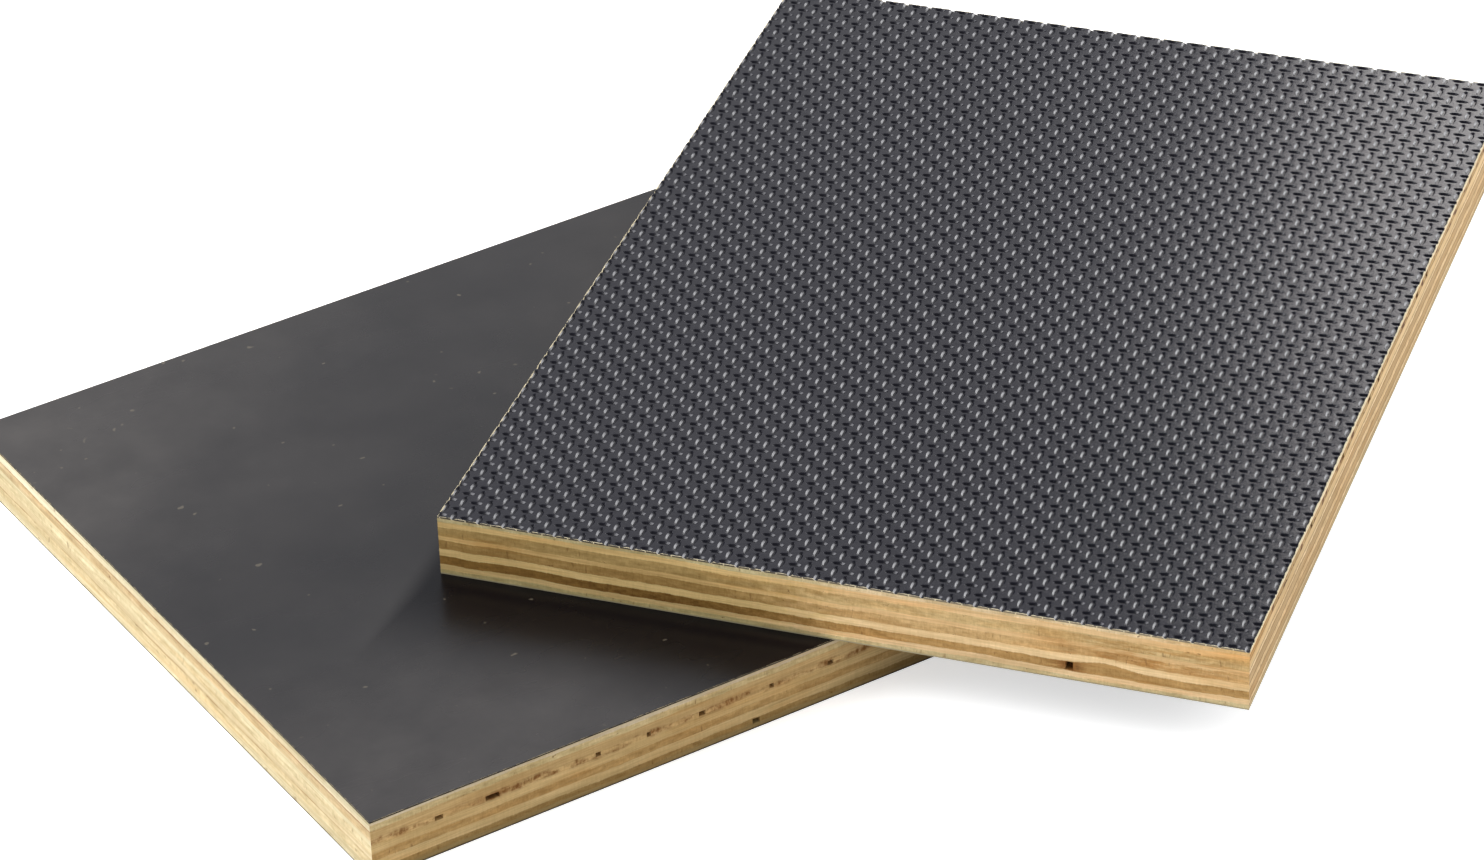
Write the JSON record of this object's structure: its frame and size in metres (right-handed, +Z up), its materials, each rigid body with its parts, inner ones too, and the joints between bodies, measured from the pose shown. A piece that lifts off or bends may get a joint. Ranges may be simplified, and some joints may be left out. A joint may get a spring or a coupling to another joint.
{
  "type": "stack of plywood sheets",
  "caption": "Stack of thick film-faced plywood offcuts lying askew, the top one with an anti-slip wire-mesh face, bare sawn edges showing the plies.",
  "frame": {"origin": "centre of the lower sheet's underside, on the floor", "axes": "+X along the lower sheet's long edge, +Y along its short edge away from the front, +Z up"},
  "size_m": [0.4343, 0.3534, 0.0359],
  "materials": {
    "lower_long_grain": "raw sawn veneer with the grain along the sheet",
    "lower_cross_grain": "raw sawn veneer with the grain across the sheet",
    "upper_long_grain": "raw sawn veneer with the grain along the sheet",
    "upper_cross_grain": "raw sawn veneer with the grain across the sheet",
    "lower_film": "smooth dark phenolic film, satin",
    "upper_film": "smooth dark phenolic film, satin",
    "mesh_film": "dark phenolic film pressed with a woven wire mesh"
  },
  "bodies": {
    "root": {"lower_sheet_top_film": "lower_film", "lower_sheet_face_veneer": "lower_long_grain", "lower_sheet_upper_crossband": "lower_cross_grain", "lower_sheet_upper_long_ply": "lower_long_grain", "lower_sheet_thin_crossband": "lower_cross_grain", "lower_sheet_centre_ply": "lower_long_grain", "lower_sheet_thick_crossband": "lower_cross_grain", "lower_sheet_lower_long_ply": "lower_long_grain", "lower_sheet_lower_crossband": "lower_cross_grain", "lower_sheet_back_veneer": "lower_long_grain", "lower_sheet_bottom_film": "lower_film", "upper_sheet_mesh_film": "mesh_film", "upper_sheet_face_veneer": "upper_long_grain", "upper_sheet_upper_crossband": "upper_cross_grain", "upper_sheet_upper_long_ply": "upper_long_grain", "upper_sheet_thin_crossband": "upper_cross_grain", "upper_sheet_centre_ply": "upper_long_grain", "upper_sheet_thick_crossband": "upper_cross_grain", "upper_sheet_lower_long_ply": "upper_long_grain", "upper_sheet_lower_crossband": "upper_cross_grain", "upper_sheet_back_veneer": "upper_long_grain", "upper_sheet_bottom_film": "upper_film"}
  },
  "joints": []
}
